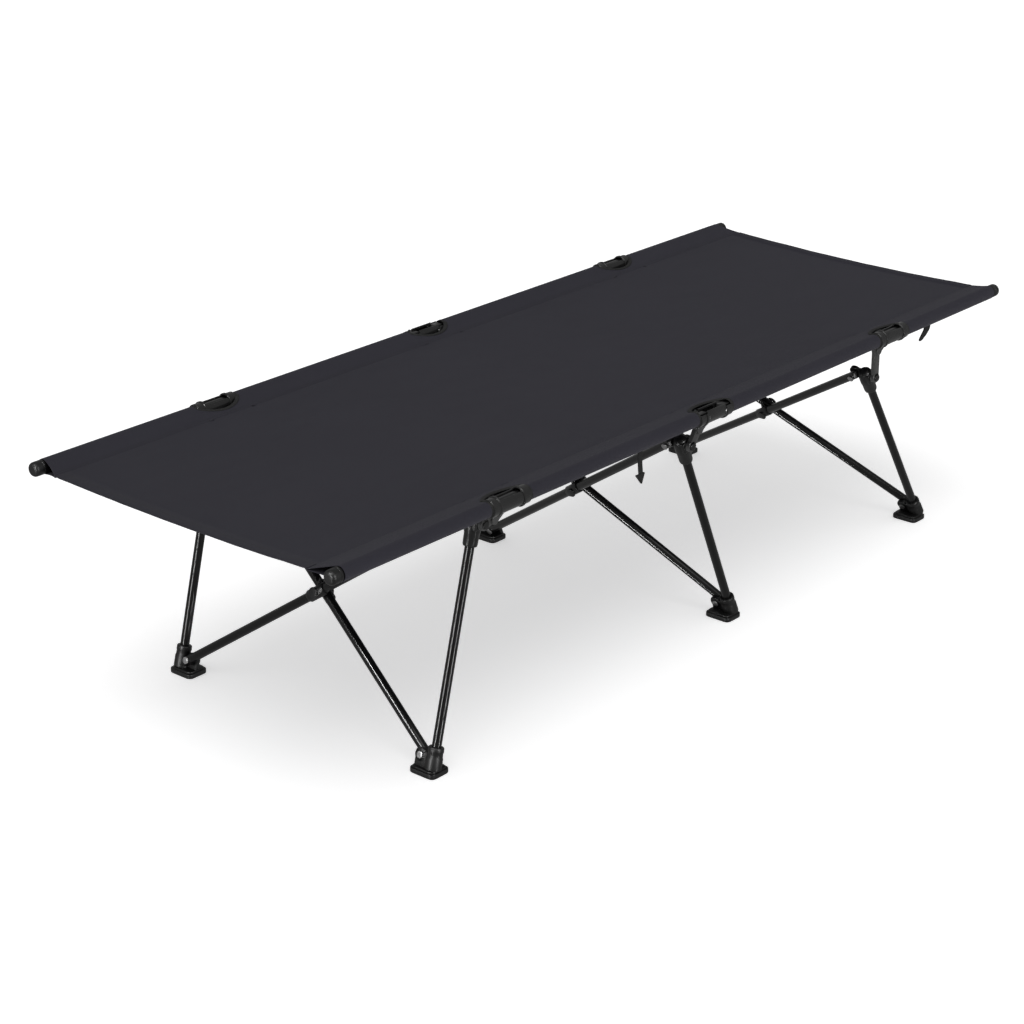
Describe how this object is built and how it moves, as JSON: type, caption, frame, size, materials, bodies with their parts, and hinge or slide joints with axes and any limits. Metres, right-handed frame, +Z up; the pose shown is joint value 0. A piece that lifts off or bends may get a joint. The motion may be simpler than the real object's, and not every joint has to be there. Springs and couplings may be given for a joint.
{
  "type": "folding cot",
  "caption": "Free-standing folding camping cot: fabric panel on two side rails, carried by scissor leg sets that narrow it while the rails fold up at their middle.",
  "frame": {"origin": "on the floor under the middle of the cot", "axes": "+X towards the foot end, +Y towards the far side, +Z up"},
  "size_m": [1.9, 0.698, 0.462],
  "materials": {
    "panel_cloth": "woven polyester, matt",
    "sleeve_cloth": "woven polyester, matt",
    "webbing": "flat webbing",
    "rivet_steel": "satin",
    "rod_steel": "satin black",
    "cap_plastic": "matt black",
    "rail_paint": "satin black powder coat",
    "leg_paint": "satin black powder coat",
    "shoe_plastic": "matt black",
    "hub_plastic": "satin black",
    "bracket_plastic": "semi-gloss dark grey"
  },
  "bodies": {
    "head_near_leg": {"head_near_shoe": "shoe_plastic", "head_near_upright": "leg_paint"},
    "head_far_leg": {"head_far_shoe": "shoe_plastic", "head_far_upright": "leg_paint"},
    "head_bar_a": {"head_bar_a": "leg_paint", "head_bar_a_pins": "rivet_steel"},
    "head_bar_b": {"head_bar_b": "leg_paint", "head_bar_b_pins": "rivet_steel"},
    "mid_near_leg": {"mid_near_shoe": "shoe_plastic", "mid_near_upright": "leg_paint"},
    "mid_far_leg": {"mid_far_shoe": "shoe_plastic", "mid_far_upright": "leg_paint"},
    "mid_bar_a": {"mid_bar_a": "leg_paint", "mid_bar_a_pins": "rivet_steel"},
    "mid_bar_b": {"mid_bar_b": "leg_paint", "mid_bar_b_pins": "rivet_steel"},
    "foot_near_leg": {"foot_near_shoe": "shoe_plastic", "foot_near_upright": "leg_paint"},
    "foot_far_leg": {"foot_far_shoe": "shoe_plastic", "foot_far_upright": "leg_paint"},
    "foot_bar_a": {"foot_bar_a": "leg_paint", "foot_bar_a_pins": "rivet_steel"},
    "foot_bar_b": {"foot_bar_b": "leg_paint", "foot_bar_b_pins": "rivet_steel"},
    "head_near_hub": {"head_near_hub": "hub_plastic", "head_near_slide_rod": "rod_steel"},
    "near_head_rail": {"near_head_rail": "rail_paint", "near_head_rail_cap": "cap_plastic", "near_head_sleeve": "sleeve_cloth", "near_head_bracket": "bracket_plastic", "head_panel": "panel_cloth", "head_strap": "webbing"},
    "head_far_hub": {"head_far_hub": "hub_plastic", "head_far_slide_rod": "rod_steel"},
    "far_head_rail": {"far_head_rail": "rail_paint", "far_head_rail_cap": "cap_plastic", "far_head_sleeve": "sleeve_cloth", "far_head_bracket": "bracket_plastic"},
    "foot_near_hub": {"foot_near_hub": "hub_plastic", "foot_near_slide_rod": "rod_steel"},
    "near_foot_rail": {"near_foot_rail": "rail_paint", "near_foot_rail_cap": "cap_plastic", "near_foot_sleeve": "sleeve_cloth", "near_foot_bracket": "bracket_plastic", "foot_panel": "panel_cloth", "foot_strap": "webbing"},
    "foot_far_hub": {"foot_far_hub": "hub_plastic", "foot_far_slide_rod": "rod_steel"},
    "far_foot_rail": {"far_foot_rail": "rail_paint", "far_foot_rail_cap": "cap_plastic", "far_foot_sleeve": "sleeve_cloth", "far_foot_bracket": "bracket_plastic"},
    "near_mid_bracket": {"near_mid_bracket": "bracket_plastic", "near_mid_hinge_pins": "rivet_steel", "mid_near_hub": "hub_plastic", "mid_near_slide_rod": "rod_steel"},
    "far_mid_bracket": {"far_mid_bracket": "bracket_plastic", "far_mid_hinge_pins": "rivet_steel", "mid_far_hub": "hub_plastic", "mid_far_slide_rod": "rod_steel"}
  },
  "joints": [
    {"name": "width_fold", "type": "hinge", "parent": "mid_near_leg", "child": "mid_bar_a", "pos_m": [0.13973, -0.27, 0.03153], "axis": [0.9097, 0, 0.4152], "range_deg": [0, 45], "deforming": ["head_panel", "foot_panel"]},
    {"name": "mid_cross", "type": "hinge", "parent": "mid_bar_a", "child": "mid_bar_b", "pos_m": [0.05, 0, 0.20767], "axis": [-0.9097, 0, -0.4152], "range_deg": [0, 90]},
    {"name": "mid_far_shoe", "type": "hinge", "parent": "mid_bar_b", "child": "mid_far_leg", "pos_m": [0.12427, 0.27, 0.02447], "axis": [0.9097, 0, 0.4152], "range_deg": [0, 45]},
    {"name": "mid_near_hub", "type": "hinge", "parent": "mid_bar_b", "child": "near_mid_bracket", "pos_m": [-0.03973, -0.27, 0.38382], "axis": [0.9097, 0, 0.4152], "range_deg": [0, 45]},
    {"name": "mid_far_hub", "type": "hinge", "parent": "mid_bar_a", "child": "far_mid_bracket", "pos_m": [-0.02427, 0.27, 0.39087], "axis": [-0.9097, 0, -0.4152], "range_deg": [0, 45]},
    {"name": "length_fold", "type": "hinge", "parent": "near_mid_bracket", "child": "near_head_rail", "pos_m": [-0.026, -0.332, 0.445], "axis": [0, 1, 0], "range_deg": [0, 90]},
    {"name": "near_foot_fold", "type": "hinge", "parent": "near_mid_bracket", "child": "near_foot_rail", "pos_m": [0.026, -0.332, 0.445], "axis": [0, -1, 0], "range_deg": [0, 90]},
    {"name": "far_head_fold", "type": "hinge", "parent": "far_mid_bracket", "child": "far_head_rail", "pos_m": [-0.026, 0.332, 0.445], "axis": [0, 1, 0], "range_deg": [0, 90]},
    {"name": "far_foot_fold", "type": "hinge", "parent": "far_mid_bracket", "child": "far_foot_rail", "pos_m": [0.026, 0.332, 0.445], "axis": [0, -1, 0], "range_deg": [0, 90]},
    {"name": "head_set_swing", "type": "hinge", "parent": "near_head_rail", "child": "head_near_hub", "pos_m": [-0.58, -0.314, 0.41141], "axis": [0, -1, 0], "range_deg": [0, 90]},
    {"name": "head_near_hub_pivot", "type": "hinge", "parent": "head_near_hub", "child": "head_bar_b", "pos_m": [-0.58825, -0.27, 0.41345], "axis": [-0.9706, 0, 0.2405], "range_deg": [0, 45]},
    {"name": "head_cross", "type": "hinge", "parent": "head_bar_b", "child": "head_bar_a", "pos_m": [-0.6275, 0, 0.2197], "axis": [0.9706, 0, -0.2405], "range_deg": [0, 90]},
    {"name": "head_far_hub_pivot", "type": "hinge", "parent": "head_bar_a", "child": "head_far_hub", "pos_m": [-0.57175, 0.27, 0.40936], "axis": [-0.9706, 0, 0.2405], "range_deg": [0, 45]},
    {"name": "head_near_shoe", "type": "hinge", "parent": "head_bar_a", "child": "head_near_leg", "pos_m": [-0.66675, -0.27, 0.02596], "axis": [-0.9706, 0, 0.2405], "range_deg": [0, 45]},
    {"name": "head_far_shoe", "type": "hinge", "parent": "head_bar_b", "child": "head_far_leg", "pos_m": [-0.68325, 0.27, 0.03004], "axis": [0.9706, 0, -0.2405], "range_deg": [0, 45]},
    {"name": "foot_set_swing", "type": "hinge", "parent": "near_foot_rail", "child": "foot_near_hub", "pos_m": [0.552, -0.314, 0.36065], "axis": [0, 1, 0], "range_deg": [0, 90]},
    {"name": "foot_near_hub_pivot", "type": "hinge", "parent": "foot_near_hub", "child": "foot_bar_b", "pos_m": [0.54484, -0.27, 0.35607], "axis": [-0.8422, 0, -0.5392], "range_deg": [0, 45]},
    {"name": "foot_cross", "type": "hinge", "parent": "foot_bar_b", "child": "foot_bar_a", "pos_m": [0.6585, 0, 0.19432], "axis": [0.8422, 0, 0.5392], "range_deg": [0, 90]},
    {"name": "foot_far_hub_pivot", "type": "hinge", "parent": "foot_bar_a", "child": "foot_far_hub", "pos_m": [0.55916, 0.27, 0.36523], "axis": [-0.8422, 0, -0.5392], "range_deg": [0, 45]},
    {"name": "foot_near_shoe", "type": "hinge", "parent": "foot_bar_a", "child": "foot_near_leg", "pos_m": [0.77216, -0.27, 0.03258], "axis": [-0.8422, 0, -0.5392], "range_deg": [0, 45]},
    {"name": "foot_far_shoe", "type": "hinge", "parent": "foot_bar_b", "child": "foot_far_leg", "pos_m": [0.75784, 0.27, 0.02342], "axis": [0.8422, 0, 0.5392], "range_deg": [0, 45]}
  ],
  "couplings": [
    {"joint": "mid_cross", "follows": "width_fold", "ratio": 2},
    {"joint": "mid_far_shoe", "follows": "width_fold", "ratio": 1},
    {"joint": "mid_near_hub", "follows": "width_fold", "ratio": 1},
    {"joint": "mid_far_hub", "follows": "width_fold", "ratio": 1},
    {"joint": "near_foot_fold", "follows": "length_fold", "ratio": 1},
    {"joint": "far_head_fold", "follows": "length_fold", "ratio": 1},
    {"joint": "far_foot_fold", "follows": "length_fold", "ratio": 1},
    {"joint": "head_set_swing", "follows": "length_fold", "ratio": 1},
    {"joint": "head_near_hub_pivot", "follows": "width_fold", "ratio": 1},
    {"joint": "head_cross", "follows": "width_fold", "ratio": 2},
    {"joint": "head_far_hub_pivot", "follows": "width_fold", "ratio": 1},
    {"joint": "head_near_shoe", "follows": "width_fold", "ratio": 1},
    {"joint": "head_far_shoe", "follows": "width_fold", "ratio": 1},
    {"joint": "foot_set_swing", "follows": "length_fold", "ratio": 1},
    {"joint": "foot_near_hub_pivot", "follows": "width_fold", "ratio": 1},
    {"joint": "foot_cross", "follows": "width_fold", "ratio": 2},
    {"joint": "foot_far_hub_pivot", "follows": "width_fold", "ratio": 1},
    {"joint": "foot_near_shoe", "follows": "width_fold", "ratio": 1},
    {"joint": "foot_far_shoe", "follows": "width_fold", "ratio": 1}
  ]
}
